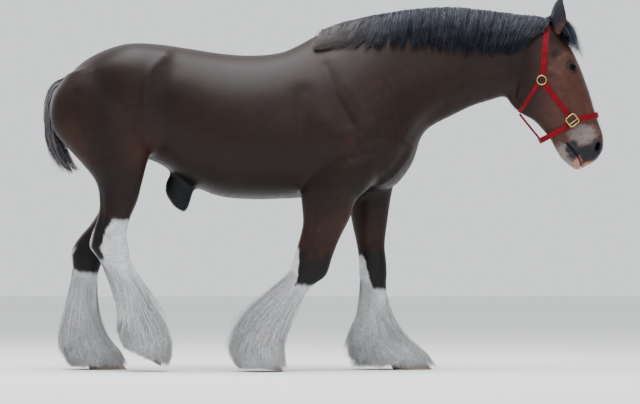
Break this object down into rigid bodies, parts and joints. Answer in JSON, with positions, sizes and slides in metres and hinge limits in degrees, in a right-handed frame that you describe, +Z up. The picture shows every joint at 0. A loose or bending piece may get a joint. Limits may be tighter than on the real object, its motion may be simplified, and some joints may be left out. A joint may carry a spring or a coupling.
{
  "type": "clydesdale horse",
  "caption": "Life-size still model of a bay clydesdale horse standing at a walk with one hind hoof lifted, with feathered legs, a long mane and a web halter.",
  "frame": {"origin": "on the floor, under the middle of the horse's bounding box", "axes": "+X the way the horse faces, +Y its left side, +Z up"},
  "size_m": [3.0886, 0.7, 2.0544],
  "materials": {
    "bay_coat": "short dark bay hair, glossy",
    "feather_hair": "long silky white hair",
    "long_hair": "long grey-black hair",
    "hoof_horn": "pale ridged horn",
    "eyes": "dark, wet and clear",
    "halter_web": "woven red nylon web",
    "brass_fittings": "worn brass"
  },
  "bodies": {
    "root": {"ear_left": "bay_coat", "ear_right": "bay_coat", "eye_left": "eyes", "eye_right": "eyes", "halter_cheek_left": "halter_web", "halter_cheek_right": "halter_web", "halter_chin": "halter_web", "halter_cord": "halter_web", "halter_crown": "halter_web", "halter_nose": "halter_web", "halter_ring_left": "brass_fittings", "halter_ring_right": "brass_fittings", "halter_square_left": "brass_fittings", "halter_square_right": "brass_fittings", "halter_throat": "halter_web", "head": "bay_coat", "hoof_fore_left": "hoof_horn", "hoof_fore_right": "hoof_horn", "hoof_hind_left": "hoof_horn", "hoof_hind_right": "hoof_horn", "leg_fore_left_lower": "feather_hair", "leg_fore_left_upper": "bay_coat", "leg_fore_right_lower": "feather_hair", "leg_fore_right_upper": "bay_coat", "leg_hind_left_lower": "feather_hair", "leg_hind_left_upper": "bay_coat", "leg_hind_right_lower": "feather_hair", "leg_hind_right_upper": "bay_coat", "neck": "bay_coat", "tail": "long_hair", "torso": "bay_coat"}
  },
  "joints": []
}
